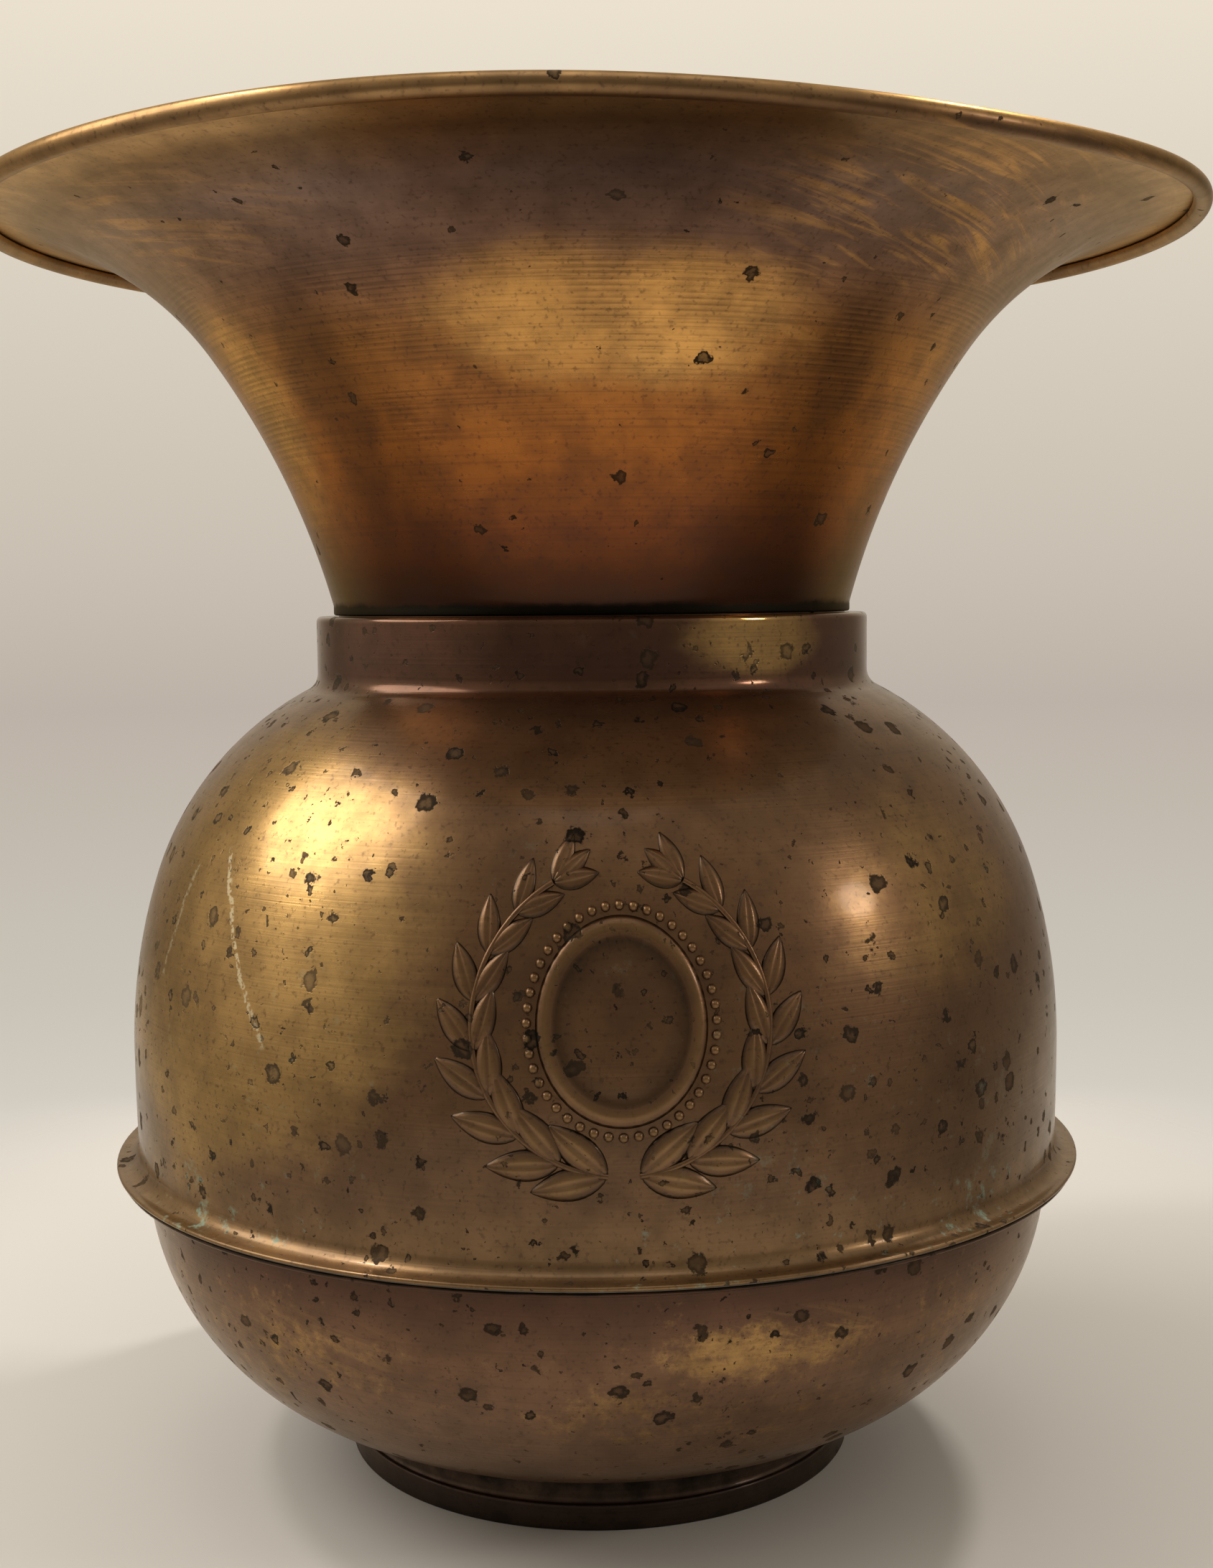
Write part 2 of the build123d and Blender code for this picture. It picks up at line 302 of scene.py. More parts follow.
# Spun brass, never lacquered and long handled: a brown film dulls the metal and is rubbed off in golden patches,
# some of them painted highlights and reflections; fine turning lines run round it, and corrosion sits on it as
# dark ringed spots
def agedBrass(name, look):
    material = bpy.data.materials.new(name)
    put = cleared(material)
    place = put("ShaderNodeVectorMath", put("ShaderNodeTexCoord").outputs["Object"], into={"Scale": 1 / mm},
                operation="SCALE")  # mm
    x, y, z = put("ShaderNodeSeparateXYZ", place).outputs
    along = put("ShaderNodeAttribute", attribute_name="along").outputs["Fac"]  # mm along the section
    relief = put("ShaderNodeAttribute", attribute_name="relief").outputs["Fac"]  # mm of pressing
    front = put("ShaderNodeMath", y, -1.0, operation="MULTIPLY")
    bearing = put("ShaderNodeMath", put("ShaderNodeMath", x, front, operation="ARCTAN2"), 180 / math.pi,
                  operation="MULTIPLY")  # degrees from the front
    layers = []  # (share, name of its colour) on the film, from the lowest up

    def roundTheAxis(length, pitch):  # coordinates for lines that run round the piece
        across = [put("ShaderNodeMath", side, length, operation="DIVIDE") for side in (x, y)]
        return put("ShaderNodeCombineXYZ", *across, put("ShaderNodeMath", along, pitch, operation="DIVIDE"))

    def byHeight(stops):  # value or colour up the piece, from (mm, value) stops
        low, high = stops[0][0], stops[-1][0]
        ramp = put("ShaderNodeValToRGB", put("ShaderNodeMapRange", z, low, high))
        fillRamp(ramp, [((height - low) / (high - low), value) for height, value in stops])
        return ramp.outputs["Color"]

    def placed(patches):  # soft ovals at (bearing in degrees, mm up), with half sizes and a strength
        total = 0.0
        for turn, up, wide, tall, strength in patches:
            across = put("ShaderNodeMath", bearing, 1 / wide, -turn / wide, operation="MULTIPLY_ADD")
            upward = put("ShaderNodeMath", z, 1 / tall, -up / tall, operation="MULTIPLY_ADD")
            square = put("ShaderNodeMath", across, across, operation="MULTIPLY")
            square = put("ShaderNodeMath", upward, upward, square, operation="MULTIPLY_ADD")
            patch = put("ShaderNodeMapRange", square, 1.0, 0.0, 0.0, strength, **smooth)
            total = put("ShaderNodeMath", patch, total, operation="ADD")
        return total

    cloud, stain, mottle, grain, swell, flake, warp, bloom = (
        put("ShaderNodeTexNoise", into={"Vector": place, "Scale": 1 / size, "Detail": detail,
                                        "Roughness": roughness, "Distortion": distortion})
        for size, detail, roughness, distortion in (look[noise] for noise in (
            "clouds", "stains", "mottle", "grain", "swell", "flake", "warp", "bloom")))
    streak = put("ShaderNodeTexNoise", into={"Vector": roundTheAxis(look["streakLength"], look["streakPitch"]),
                                             "Scale": 1.0, "Detail": 4.0})
    lines = put("ShaderNodeTexNoise", into={"Vector": roundTheAxis(look["lineLength"], look["linePitch"]),
                                            "Scale": 1.0, "Detail": 2.0})

    # Film rubbed off in patches; the placed patches and height stops also paint highlights and reflections in gold
    rubbingAndPaintedLight = put("ShaderNodeMath", streak, look["streaks"], cloud, operation="MULTIPLY_ADD")
    rubbingAndPaintedLight = put("ShaderNodeMath", flake, look["flakes"], rubbingAndPaintedLight, operation="MULTIPLY_ADD")
    rubbingAndPaintedLight = put("ShaderNodeMath", rubbingAndPaintedLight, byHeight(look["rubbedAndPaintedLightAt"]), operation="ADD")
    rubbingAndPaintedLight = put("ShaderNodeMath", rubbingAndPaintedLight, placed(look["rubbedAndPaintedLightPatches"]), operation="ADD")
    bare = look["rubbedFrom"] + look["streaks"] / 2 + look["flakes"] / 2
    rubbedAndPaintedLight = put("ShaderNodeMapRange", rubbingAndPaintedLight, bare, bare + look["rubbedEdge"], **smooth)
    layers.append((rubbedAndPaintedLight, "gold"))

    # Smears left by wiping, aslant round the piece
    aslant = put("ShaderNodeMath", along, 1 / look["smearPitch"], operation="MULTIPLY")
    aslant = put("ShaderNodeMath", bearing, look["smearSlant"], aslant, operation="MULTIPLY_ADD")
    level = put("ShaderNodeMath", bearing, 1 / look["smearLength"], operation="MULTIPLY")
    smear = put("ShaderNodeTexNoise", into={"Vector": put("ShaderNodeCombineXYZ", level, aslant), "Scale": 1.0,
                                            "Detail": 6.0, "Roughness": 0.62, "Distortion": 1.6})
    smear = put("ShaderNodeMapRange", smear, *look["smearRange"], **smooth)
    smear = put("ShaderNodeMath", smear, placed(look["smears"]), operation="MULTIPLY", use_clamp=True)
    layers.append((smear, "gold"))

    # Darker stains and speckles, and placed patches of painted shade
    shade = put("ShaderNodeMath", mottle, stain, operation="ADD")
    shade = put("ShaderNodeMapRange", shade, *look["stainRange"], 0.0, look["stain"], **smooth)
    dim = put("ShaderNodeMath", cloud, 0.5, placed(look["paintedShadePatches"]), operation="MULTIPLY_ADD")
    dim = put("ShaderNodeMapRange", dim, *look["darkRange"], **smooth)
    speckle = put("ShaderNodeMapRange", grain, *look["speckleRange"], 0.0, look["speckle"], **smooth)
    layers += [(shade, "dark"), (dim, "dark"), (speckle, "dark")]

    # Dirt in the turning lines and in the tool's grooves
    linesHere = byHeight(look["linesAt"])
    dirt = put("ShaderNodeMapRange", lines, *look["dirtRange"], 0.0, look["lineDirt"], **smooth)
    dirt = put("ShaderNodeMath", dirt, linesHere, operation="MULTIPLY")
    groove = put("ShaderNodeMath", along, 2 * math.pi / look["groovePitch"], operation="MULTIPLY")
    groove = put("ShaderNodeMath", groove, operation="SINE")
    groove = put("ShaderNodeMath", groove, byHeight(look["groovesAt"]), operation="MULTIPLY")
    patchy = put("ShaderNodeMapRange", stain, *look["grooveRange"], look["grooveLeast"], 1.0, **smooth)
    groove = put("ShaderNodeMath", groove, patchy, operation="MULTIPLY")
    filled = put("ShaderNodeMapRange", groove, -0.2, -1.0, 0.0, look["grooveDirt"])
    filled = put("ShaderNodeMath", filled, streak, operation="MULTIPLY")
    layers.append((put("ShaderNodeMath", dirt, filled, operation="MAXIMUM"), "dark"))

    # Pale broken scratches, each from (bearing, mm up) to (bearing, mm up) with a half width in degrees
    for fromTurn, fromUp, toTurn, toUp, wide in look["scratches"]:
        lean = (toTurn - fromTurn) / (toUp - fromUp)
        line = put("ShaderNodeMath", z, -lean, bearing, operation="MULTIPLY_ADD")
        line = put("ShaderNodeMath", mottle, look["scratchWander"], line, operation="MULTIPLY_ADD")
        gap = put("ShaderNodeMath", line, fromTurn - lean * fromUp + look["scratchWander"] / 2, operation="SUBTRACT")
        gap = put("ShaderNodeMath", gap, operation="ABSOLUTE")
        off = put("ShaderNodeMath", put("ShaderNodeMath", z, (fromUp + toUp) / 2, operation="SUBTRACT"),
                  operation="ABSOLUTE")
        reach = abs(toUp - fromUp) / 2
        mark = put("ShaderNodeMath",
                   put("ShaderNodeMapRange", gap, wide, wide * 0.4, **smooth),
                   put("ShaderNodeMapRange", off, reach, reach * 0.9, **smooth),
                   operation="MULTIPLY")
        broken = put("ShaderNodeMapRange", grain, *look["scratchRange"], 0.0, 0.8, **smooth)
        layers.append((put("ShaderNodeMath", mark, broken, operation="MULTIPLY"), "scratch"))

    # Corrosion spots, in sets of (spacing, biggest radius, amount): a dark rim and a paler heart
    bent = put("ShaderNodeVectorMath", warp.outputs["Color"], (look["spotWarp"],) * 3, place, operation="MULTIPLY_ADD")
    thick = put("ShaderNodeMapRange", cloud, 0.35, 0.65, 0.5, 1.4)  # more of them in some places
    spot = 0.0
    for spacing, biggest, amount in look["spots"]:
        cells = put("ShaderNodeTexVoronoi", into={"Vector": bent, "Scale": 1 / spacing, "Randomness": 1.0})
        chance = put("ShaderNodeSeparateColor", cells.outputs["Color"]).outputs
        size = put("ShaderNodeMapRange", chance["Red"], 0.0, 1.0, 0.3 * biggest / spacing, biggest / spacing)
        share = put("ShaderNodeMath", cells.outputs["Distance"], size, operation="DIVIDE")
        there = put("ShaderNodeMath", put("ShaderNodeMath", thick, amount, operation="MULTIPLY"), chance["Green"],
                    operation="GREATER_THAN")
        whole = put("ShaderNodeMapRange", share, 1.0, 0.82, **smooth)
        whole = put("ShaderNodeMath", whole, there, operation="MULTIPLY")
        strength = put("ShaderNodeMapRange", chance["Blue"], 0.0, 1.0, 0.45, 1.0)
        heart = put("ShaderNodeMath", whole, 0.6, operation="MULTIPLY")
        rim = put("ShaderNodeMapRange", share, 0.3, 0.75, 0.0, 0.95, **smooth)
        rim = put("ShaderNodeMath", put("ShaderNodeMath", rim, whole, operation="MULTIPLY"), strength,
                  operation="MULTIPLY")
        layers += [(heart, "spotHeart"), (rim, "spotRim")]
        spot = put("ShaderNodeMath", whole, spot, operation="MAXIMUM")

    # Grime where pieces meet and round the pressing, verdigris beside it, and a pressing worn bright on top
    grime = put("ShaderNodeMath", mottle, 0.7, byHeight(look["grimeAt"]), operation="MULTIPLY_ADD")
    grime = put("ShaderNodeMapRange", grime, *look["grimeRange"], **smooth)
    green = put("ShaderNodeMath", cloud, 0.6, bloom, operation="MULTIPLY_ADD")
    green = put("ShaderNodeMapRange", green, *look["greenRange"], **smooth)
    green = put("ShaderNodeMath", green, byHeight(look["greenAt"]), operation="MULTIPLY")
    edging = put("ShaderNodeMath", put("ShaderNodeMapRange", relief, 0.01, 0.05, 0.0, 0.8),
                 put("ShaderNodeMapRange", relief, 0.42, 0.15), operation="MULTIPLY")
    worn = put("ShaderNodeMapRange", relief, 0.5, 1.1, 0.0, 0.3, **smooth)
    layers += [(grime, "grime"), (green, "verdigris"), (edging, "grime"), (worn, "gold")]

    colour = byHeight(look["film"])
    for share, tint in layers:
        colour = put("ShaderNodeMix", share, into={6: colour, 7: linear(look[tint])}, data_type="RGBA")

    # Metal, roughness and relief: spots and grime are dull
    dull = put("ShaderNodeMath", grime, 0.8, operation="MULTIPLY")
    dull = put("ShaderNodeMath", put("ShaderNodeMath", spot, green, operation="ADD"), dull, operation="MAXIMUM",
               use_clamp=True)
    glaze = put("ShaderNodeMapRange", dull, 0.0, 1.0, look["coat"], 0.0)
    metallic = put("ShaderNodeMapRange", rubbedAndPaintedLight, 0.0, 1.0, look["filmMetal"], 1.0)
    for share, metal in ((dull, look["dullMetal"]), (green, look["greenMetal"])):
        metallic = put("ShaderNodeMix", share, into={2: metallic, 3: metal}, data_type="FLOAT")
    rough = byHeight(look["roughAt"])
    for share, change in ((streak, look["roughStreaks"]), (mottle, look["roughMottle"]), (rubbedAndPaintedLight, -0.05), (dull, 0.3)):
        rough = put("ShaderNodeMath", share, change, rough, operation="MULTIPLY_ADD")
    rough = put("ShaderNodeMath", rough, (look["roughStreaks"] + look["roughMottle"]) / 2, operation="SUBTRACT")
    height = put("ShaderNodeMath", lines, linesHere, operation="MULTIPLY")
    height = put("ShaderNodeMath", height, look["lineDepth"], operation="MULTIPLY")
    for share, depth in ((groove, look["grooveDepth"]), (grain, look["grainDepth"]), (spot, -look["spotDepth"]),
                         (swell, look["wave"])):
        height = put("ShaderNodeMath", share, depth, height, operation="MULTIPLY_ADD")
    bump = put("ShaderNodeBump", into={"Height": height, "Strength": 1.0, "Distance": mm})
    tangent = put("ShaderNodeTangent", direction_type="RADIAL", axis="Z")
    shader = put("ShaderNodeBsdfPrincipled", into={
        "Base Color": colour, "Metallic": metallic, "Roughness": rough, "Normal": bump,
        "Anisotropic": look["anisotropy"], "Anisotropic Rotation": 0.25, "Tangent": tangent,
        "Specular Tint": linear(look["edge"]), "Coat Weight": glaze, "Coat Roughness": look["coatRough"]})
    put("ShaderNodeOutputMaterial", shader)
    return material


# Soft solder and drawn steel wire: grey metal, dull and slightly uneven
def greyMetal(name, look):
    material = bpy.data.materials.new(name)
    put = cleared(material)
    roughSpread, pitDepth, pitStrength = 0.1, 0.2, 0.4
    noise = put("ShaderNodeTexNoise", into={"Vector": put("ShaderNodeTexCoord").outputs["Object"],
                                            "Scale": 1 / mm / look["grain"], "Detail": 4.0})
    tint = put("ShaderNodeMix", noise, into={6: linear(look["light"]), 7: linear(look["dark"])}, data_type="RGBA")
    rough = put("ShaderNodeMapRange", noise, 0.0, 1.0, look["rough"] - roughSpread, look["rough"] + roughSpread)
    bump = put("ShaderNodeBump", into={"Height": noise, "Strength": pitStrength, "Distance": pitDepth * mm})
    put("ShaderNodeOutputMaterial", put("ShaderNodeBsdfPrincipled", into={
        "Base Color": tint, "Roughness": rough, "Normal": bump, "Metallic": 1.0}))
    return material


# What the brass of every piece has in common: heights, sizes and depths in mm, noises as (size, detail, roughness,
# distortion), ranges as where a noise begins to count and where it counts in full
brassLook = {"gold": "#b9925c", "dark": "#3d2b20", "edge": "#eee2cf", "spotHeart": "#4b3d2f", "spotRim": "#1d1814",
             "grime": "#15120d", "verdigris": "#84a394", "scratch": "#e4d4ae",
             "film": [(0, "#7c593f"), (300, "#7c593f")], "filmMetal": 0.86, "dullMetal": 0.75, "greenMetal": 0.2,
             "anisotropy": 0.5, "coat": 0.2, "coatRough": 0.11, "roughAt": [(0, 0.31), (300, 0.31)],
             "roughStreaks": 0.10, "roughMottle": 0.16,
             "clouds": (42.0, 4.0, 0.62, 0.5), "stains": (18.0, 3.0, 0.6, 0.0), "mottle": (7.0, 4.0, 0.6, 0.0),
             "grain": (0.9, 2.0, 0.5, 0.0), "swell": (30.0, 2.0, 0.5, 0.0), "flake": (9.0, 4.0, 0.7, 0.0),
             "warp": (2.2, 3.0, 0.65, 0.0), "bloom": (3.2, 4.0, 0.7, 0.0), "grainDepth": 0.008, "wave": 0.05,
             "streakLength": 28.0, "streakPitch": 1.7, "streaks": 0.3, "flakes": 0.5,
             "rubbedAndPaintedLightAt": [(0, 0.5), (300, 0.5)], "rubbedFrom": 1.05, "rubbedEdge": 0.5, "rubbedAndPaintedLightPatches": [],
             "smears": [], "smearPitch": 5.0, "smearSlant": 0.1, "smearLength": 24.0, "smearRange": (0.46, 0.66),
             "stain": 0.42, "stainRange": (0.70, 1.30), "paintedShadePatches": [], "darkRange": (0.4, 1.1),
             "speckle": 0.45, "speckleRange": (0.55, 0.75),
             "linesAt": [(0, 1.0), (300, 1.0)], "lineLength": 80.0, "linePitch": 0.5, "lineDepth": 0.03,
             "lineDirt": 0.25, "dirtRange": (0.52, 0.34), "groovesAt": [(0, 0.0), (300, 0.0)], "groovePitch": 1.2,
             "grooveDepth": 0.014, "grooveRange": (0.4, 0.62), "grooveLeast": 0.15, "grooveDirt": 0.75,
             "scratches": [], "scratchWander": 2.2, "scratchRange": (0.4, 0.55),
             "spots": [(8.0, 2.1, 0.3), (4.2, 0.9, 0.25)], "spotWarp": 3.6, "spotDepth": 0.03,
             "grimeAt": [(0, 0.0), (300, 0.0)], "grimeRange": (0.70, 1.10),
             "greenAt": [(0, 0.0), (300, 0.0)], "greenRange": (0.92, 1.08)}

# Funnel: neck, two arcs of the flare and the curl over the wire
funnelMake = {**brassLook, "neck": (55.8, 184.05), "neckHeight": 1.6, "neckSlope": 15.0, "wireAt": (127.6, 265.1),
              "curlRadius": 1.45, "mouthSlope": 7.0, "curlSweep": 285.0, "columns": 256,
              "knocks": [(-17, 1.0, 26), (37, -1.7, 24)],  # bearing in degrees, mm up, width in degrees
              "knocked": (70, 129),  # radii between which a knock grows to its full height
              "gold": "#e2aa60", "dark": "#3f2d27", "edge": "#f0dcb8", "coat": 0.1, "filmMetal": 0.9, "stain": 0.45,
              # the lighter film and the extra gold from 265 mm up are a painted reflection on the rim bead
              "film": [(183, "#2f1c12"), (192, "#58311a"), (200, "#7f4825"), (215, "#ae6a2e"), (235, "#ae753c"),
                       (248, "#8c6a55"), (258, "#856c60"), (263.5, "#80603f"), (265, "#ac885c"), (268, "#ac885c")],
              "rubbedAndPaintedLightAt": [(183, 0.3), (205, 0.42), (222, 0.45), (240, 0.47), (250, 0.3), (263, 0.32), (265, 0.58),
                           (268, 0.64)],
              "rubbedEdge": 0.95,
              # the gold patches at (2, 238) and (-66, 220) are painted reflections, of the lit floor in front and of
              # the pale backdrop at the left edge
              "rubbedAndPaintedLightPatches": [(2, 238, 30, 18, 0.84), (20, 236, 20, 18, 0.34), (-66, 220, 20, 36, 0.55),
                                (44, 257, 20, 10, 0.3)],
              # the dark patches are painted dark reflections, upright bands at the left and right of the flare
              "paintedShadePatches": [(-42, 222, 11, 36, 0.45), (40, 228, 8, 26, 0.25)],
              "smears": [(40, 254, 30, 13, 0.75), (-52, 256, 26, 10, 0.4), (24, 238, 14, 12, 0.4)],
              "linesAt": [(183, 0.3), (210, 0.7), (222, 1.0), (246, 1.0), (252, 0.35), (268, 0.2)], "linePitch": 0.55,
              "groovesAt": [(206, 0.0), (214, 0.6), (224, 1.0), (246, 1.0), (251, 0.2), (256, 0.0)],
              "roughAt": [(183, 0.3), (240, 0.3), (252, 0.4), (262, 0.42), (268, 0.3)],
              "grimeAt": [(183, 1.2), (184.6, 0.9), (187, 0.1), (200, 0.0)],
              "spots": [(8.0, 1.7, 0.3), (4.2, 0.7, 0.25)]}


def funnelSection(make):
    neck = np.array(make["neck"])
    neckTop = neck + (0, make["neckHeight"])
    slope = math.radians(make["mouthSlope"])
    outward = np.array([math.cos(slope), math.sin(slope)])
    mouth = np.array(make["wireAt"]) + np.array([-outward[1], outward[0]]) * make["curlRadius"]
    lean = math.radians(make["neckSlope"])
    upward = np.array([math.sin(lean), math.cos(lean)])
    span = mouth - neckTop
    turn, reach = 2 * (1 - upward @ outward), span @ (upward + outward)
    tangent = (math.sqrt(reach ** 2 + turn * (span @ span)) - reach) / turn
    joint = (neckTop + mouth + (upward - outward) * tangent) / 2
    low, leaving = arcTo(neckTop, joint, upward, 44)
    high, _ = arcTo(joint, mouth, leaving, 44)
    angles = np.radians(90 + make["mouthSlope"] - np.linspace(0, make["curlSweep"], 34))
    curl = np.array(make["wireAt"]) + make["curlRadius"] * np.stack([np.cos(angles), np.sin(angles)], 1)
    return sheetSection(np.vstack([straight(neck, neckTop, 3), low[1:], high[1:], curl[1:]]))


funnelBrass = agedBrass("spunBrassFunnel", funnelMake)
funnel = spin("funnel_sheet", funnelSection(funnelMake), funnelBrass, funnelMake["columns"])
bend(funnel, funnelMake["knocks"], *funnelMake["knocked"])

# Wire in the rolled edge
wireMake = {"radius": 0.75, "columns": 256, "light": "#6f6d69", "dark": "#4c4845", "rough": 0.4, "grain": 4.0}
angles = np.linspace(0, 2 * math.pi, 16, endpoint=False)
wireSection = np.array(funnelMake["wireAt"]) + wireMake["radius"] * np.stack([np.cos(angles), np.sin(angles)], 1)
wire = spin("rim_wire_round", wireSection, greyMetal("drawnSteelWire", wireMake), wireMake["columns"])
bend(wire, funnelMake["knocks"], *funnelMake["knocked"])

# Sleeve inside the collar
sleeveMake = {**brassLook, "radius": 54.75, "top": 188.65, "bottom": 155.4, "columns": 192,
              "film": [(155, "#6d4d32"), (190, "#6d4d32")], "rubbedAndPaintedLightAt": [(155, 0.4), (190, 0.4)]}
sleeveLine = straight((sleeveMake["radius"], sleeveMake["top"]), (sleeveMake["radius"], sleeveMake["bottom"]), 24)
sleeveBrass = agedBrass("stainedBrassSleeve", sleeveMake)
sleeve = spin("sleeve_tube", sheetSection(sleeveLine), sleeveBrass, sleeveMake["columns"])

# Body: lip, collar, shoulder, belly and flange
bodyMake = {**brassLook, "lip": (56.0, 182.95), "lipDepth": 6.0, "collar": (59.55, 168.4), "belly": (100.35, 92.0),
            "shoulder": (94.7, 128.3), "barrel": (99.95, 67.35), "flangeRadius": 105.2, "lipFold": 0.65,
            "collarFillet": 4.45, "flangeFillet": 3.45, "columns": 224,
            "frontDensity": 0.6,  # columns stand closer at the pressing
            "film": [(66, "#856847"), (71, "#8a6c4a"), (80, "#75593f"), (120, "#75553a"), (150, "#866444"),
                     (163, "#86664a"), (169, "#6b4733"), (174, "#664636"), (184, "#704c38")],
            "rubbedAndPaintedLightAt": [(66, 0.62), (74, 0.48), (100, 0.4), (150, 0.46), (165, 0.34), (172, 0.4), (184, 0.44)],
            "gold": "#c09a60", "lineDirt": 0.08,
            # the gold patches at (-46, 124) and (42, 132) are painted highlights: the broad glow of the left lamps and
            # the golden highlight at the right
            "rubbedAndPaintedLightPatches": [(-46, 124, 42, 52, 0.85), (34, 178, 22, 9, 0.75), (-58, 90, 24, 30, 0.3),
                              (42, 132, 26, 26, 0.45), (132, 112, 42, 46, 0.5), (-128, 120, 42, 48, 0.45),
                              (96, 158, 30, 18, 0.3)],
            # the dark patches are painted shade: at (48, 156) on the shoulder under the flare, and at (-8, 176) a
            # painted dark reflection across the middle of the collar
            "paintedShadePatches": [(48, 156, 18, 10, 0.25), (-8, 176, 34, 12, 0.25)],
            "scratches": [(-50.5, 140, -37.5, 104, 0.55), (-57, 136, -60, 112, 0.5)],
            "grimeAt": [(66, 0.75), (67.6, 0.15), (80, 0.0), (180, 0.0), (183.2, 0.1), (184, 0.5)],
            "greenAt": [(66, 0.8), (72, 0.65), (80, 0.18), (184, 0.05)], "streaks": 0.14, "rubbedEdge": 0.7,
            "roughAt": [(66, 0.34), (160, 0.33), (168, 0.28), (171, 0.14), (184, 0.14)], "filmMetal": 0.74,
            "spots": [(7.0, 2.4, 0.75), (3.8, 1.1, 0.6), (2.1, 0.42, 0.6)]}


def bodySection(make):
    lip, collar = np.array(make["lip"]), np.array(make["collar"])
    top = (collar[0], lip[1])
    hook = filleted(straight(lip - (0, make["lipDepth"]), lip, 8), straight(lip, top, 6), make["lipFold"], 6)
    hook = filleted(hook, straight(top, collar, 16), make["lipFold"], 6)
    belly, leaving = arcTo(make["belly"], make["shoulder"], (0, 1), 40)
    shoulder, _ = arcTo(make["shoulder"], collar, leaving, 60)
    barrel, _ = arcTo(make["belly"], make["barrel"], (0, -1), 30)
    upper = filleted(hook, shoulder[::-1], make["collarFillet"], 12)
    lower = filleted(barrel, straight(make["barrel"], (make["flangeRadius"] - sheetHalf, make["barrel"][1]), 6),
                     make["flangeFillet"], 12)
    return sheetSection(np.vstack([upper, belly[::-1][1:], lower[1:]]))


bodyBrass = agedBrass("spunBrassBody", bodyMake)
bodyWall = spin("body_wall", bodySection(bodyMake), bodyBrass, bodyMake["columns"], bodyMake["frontDensity"])

# Pressing on the front: laurel branches round a beaded oval; sizes in mm, turns in degrees
laurelMake = {"leafLength": 14.0, "leafWidth": 6.4, "leafHeight": 1.15, "pairs": 9, "branchRadius": 27.0,
              "branchStart": -84.0, "branchSweep": 146.0, "splay": 27.0, "tipSize": 0.66, "stem": 0.6,
              "veinDepth": 0.42, "veinWidth": 0.16,  # shares of the leaf's height and half width
              "beadRadius": 0.95, "beads": 44, "beadGap": 1.5, "oval": (15.5, 18.5), "ovalHeight": 0.9, "turn": 3.0,
              "up": 113.0, "wallRadius": 100.0, "sunk": 0.06}  # sunk: how far its edges lie inside the wall


def shell(name, points, faces):  # closed shell from points in mm
    mesh = bpy.data.meshes.new(name)
    mesh.from_pydata([(px * mm, py * mm, pz * mm) for px, py, pz in points], [], faces)
    shape = linked(name, mesh)
    facingOut(shape)
    return shape


def lens(name, rows, tips):  # shell from rows of points and a point beyond each end
    wide = len(rows[0])
    points = [p for row in rows for p in row] + list(tips)
    first, last = len(points) - len(tips), len(points) - 1
    faces = []
    for i in range(len(rows) - 1):
        for j in range(wide - 1):
            a = i * wide + j
            faces.append((a, a + wide, a + wide + 1, a + 1))
    for j in range(wide - 1):
        faces.append((first, j, j + 1))
        faces.append((last, (len(rows) - 1) * wide + j + 1, (len(rows) - 1) * wide + j))
    edge = [first] + [i * wide for i in range(len(rows))] + [last]
    edge += [i * wide + wide - 1 for i in reversed(range(len(rows)))]
    faces.append(tuple(edge))
    return shell(name, points, faces)


def dome(name, rings, count):  # closed round shell from (half width, half height, mm up) rings, its top first
    points, faces = [(0.0, 0.0, rings[0][2])], []
    for wide, tall, up in rings[1:]:
        for j in range(count):
            turn = 2 * math.pi * j / count
            points.append((wide * math.cos(turn), tall * math.sin(turn), up))
    for j in range(count):
        faces.append((0, 1 + j, 1 + (j + 1) % count))
    for i in range(len(rings) - 2):
        for j in range(count):
            a, b = 1 + i * count + j, 1 + i * count + (j + 1) % count
            faces.append((a, a + count, b + count, b))
    faces.append(tuple(1 + (len(rings) - 2) * count + j for j in reversed(range(count))))
    return shell(name, points, faces)


sunk = laurelMake["sunk"]
leafRows = []
for u in np.linspace(0.06, 0.95, 11):  # share of the length, then v across
    half = laurelMake["leafWidth"] / 2 * math.sin(math.pi * u ** 0.85) ** 0.8
    crown = laurelMake["leafHeight"] * math.sin(math.pi * u) ** 0.5
    row = []
    for v in np.linspace(-1, 1, 11):
        vein = 1 - laurelMake["veinDepth"] * math.exp(-(v / laurelMake["veinWidth"]) ** 2)
        row.append((u * laurelMake["leafLength"], v * half, crown * (1 - v * v) ** 1.2 * vein - sunk))
    leafRows.append(row)
leaf = lens("laurelLeaf", leafRows, [(0, 0, -sunk), (laurelMake["leafLength"], 0, -sunk)])
beadRadius = laurelMake["beadRadius"]
beadRings = [(beadRadius * math.sin(a), beadRadius * math.sin(a), beadRadius * math.cos(a) - sunk)
             for a in np.radians([30, 55, 75, 90])]
bead = dome("ovalBead", [(0, 0, beadRadius)] + beadRings, 10)
wide, tall = laurelMake["oval"]
ovalRings = [(0.0, 0.55), (0.25, 0.54), (0.5, 0.47), (0.68, 0.34), (0.76, 0.26), (0.8, 0.36), (0.84, 0.72),
             (0.88, 0.9), (0.92, 0.82), (0.96, 0.5), (1.0, -0.06)]  # shares of the size and of the height
oval = dome("plainOval", [(wide * s, tall * s, laurelMake["ovalHeight"] * up) for s, up in ovalRings], 72)
